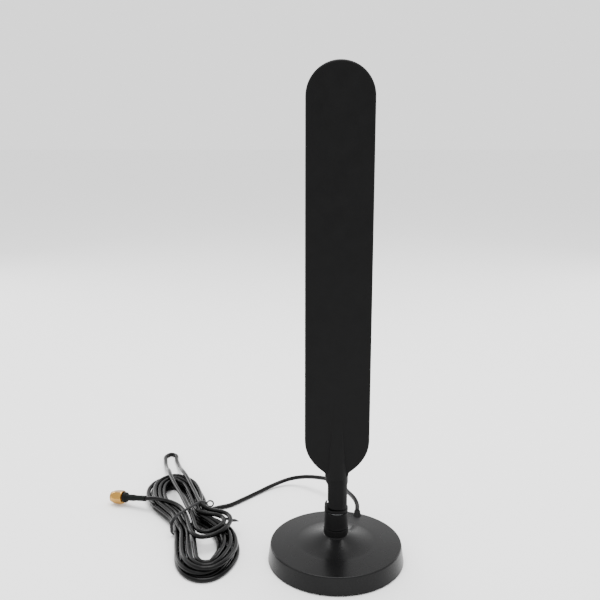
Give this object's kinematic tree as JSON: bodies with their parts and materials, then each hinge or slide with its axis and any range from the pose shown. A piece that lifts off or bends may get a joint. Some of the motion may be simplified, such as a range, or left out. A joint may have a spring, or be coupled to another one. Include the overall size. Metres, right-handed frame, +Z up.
{
  "type": "magnetic base paddle antenna",
  "caption": "Flat paddle antenna on a folding, swivelling neck, screwed to a round magnetic base, with a coaxial cord in a tied hank and a threaded plug.",
  "frame": {"origin": "centre of the base on the surface it stands on", "axes": "+Z up along the base's and the blade's axis, +X along the blade's width, +Y through its thickness, away from its front face"},
  "size_m": [0.1885, 0.1887, 0.284],
  "materials": {
    "base_plastic": "satin black",
    "blade_plastic": "fine matte black",
    "rubber": "matte black",
    "cable_jacket": "smooth black",
    "tie": "black film",
    "shrink": "dull greenish black",
    "steel": "zinc plated",
    "gold_plate": "gold plated",
    "copper": "etched copper foil",
    "ferrite": "sintered dark grey",
    "ptfe": "white",
    "board": "solder mask",
    "gasket": "soft red"
  },
  "bodies": {
    "base": {"base_shell": "base_plastic", "foot_pad": "rubber", "base_plate": "steel", "magnet_ring": "ferrite", "flux_plate": "steel", "base_screw_1": "steel", "base_screw_2": "steel", "base_screw_3": "steel", "cable_boot": "rubber", "base_coax": "cable_jacket", "sma_jack_body": "gold_plate", "jack_insulator": "ptfe", "jack_socket": "gold_plate", "jack_lock_washer": "steel", "jack_nut": "gold_plate", "seal_ring": "rubber", "cord_lead": "cable_jacket", "cord_hank": "cable_jacket", "cord_stray_loop": "cable_jacket", "twist_tie": "tie", "heat_shrink": "shrink", "crimp_ferrule": "gold_plate", "plug_body": "gold_plate", "plug_gasket": "gasket", "plug_insulator": "ptfe", "plug_pin": "gold_plate"},
    "antenna_plug": {"antenna_plug_body": "gold_plate", "antenna_plug_insulator": "ptfe", "antenna_plug_pin": "gold_plate"},
    "sleeve": {"coupling_sleeve": "base_plastic", "antenna_sma_nut": "gold_plate"},
    "knuckle": {"hinge_knuckle": "base_plastic", "swivel_washer": "steel", "hinge_coax": "cable_jacket"},
    "blade": {"blade_front_shell": "blade_plastic", "blade_rear_shell": "blade_plastic", "hinge_pin": "steel", "radiator_board": "board", "radiating_element": "copper", "ground_element": "copper", "blade_coax": "cable_jacket"},
    "cord_plug_nut": {"plug_nut": "gold_plate"}
  },
  "joints": [
    {"name": "antenna_lift", "type": "slide", "parent": "base", "child": "antenna_plug", "axis": [0, 0, 1], "range_m": [0, 0.0038]},
    {"name": "sleeve_turn", "type": "hinge", "parent": "antenna_plug", "child": "sleeve", "pos_m": [0, 0, 0.026], "axis": [0, 0, 1], "range_deg": [0, 1980]},
    {"name": "knuckle_swivel", "type": "hinge", "parent": "antenna_plug", "child": "knuckle", "pos_m": [0, 0, 0.0325], "axis": [0, 0, 1], "range_deg": [-180, 180]},
    {"name": "blade_tilt", "type": "hinge", "parent": "knuckle", "child": "blade", "pos_m": [0, 0, 0.0435], "axis": [0, -1, 0], "range_deg": [0, 90]},
    {"name": "plug_nut_spin", "type": "hinge", "parent": "base", "child": "cord_plug_nut", "pos_m": [-0.1469, 0.07, 0.00475], "axis": [0.9193, -0.3714, 0.1305], "continuous": true}
  ],
  "couplings": [
    {"joint": "sleeve_turn", "follows": "antenna_lift", "rad_per_m": 8904.7}
  ]
}
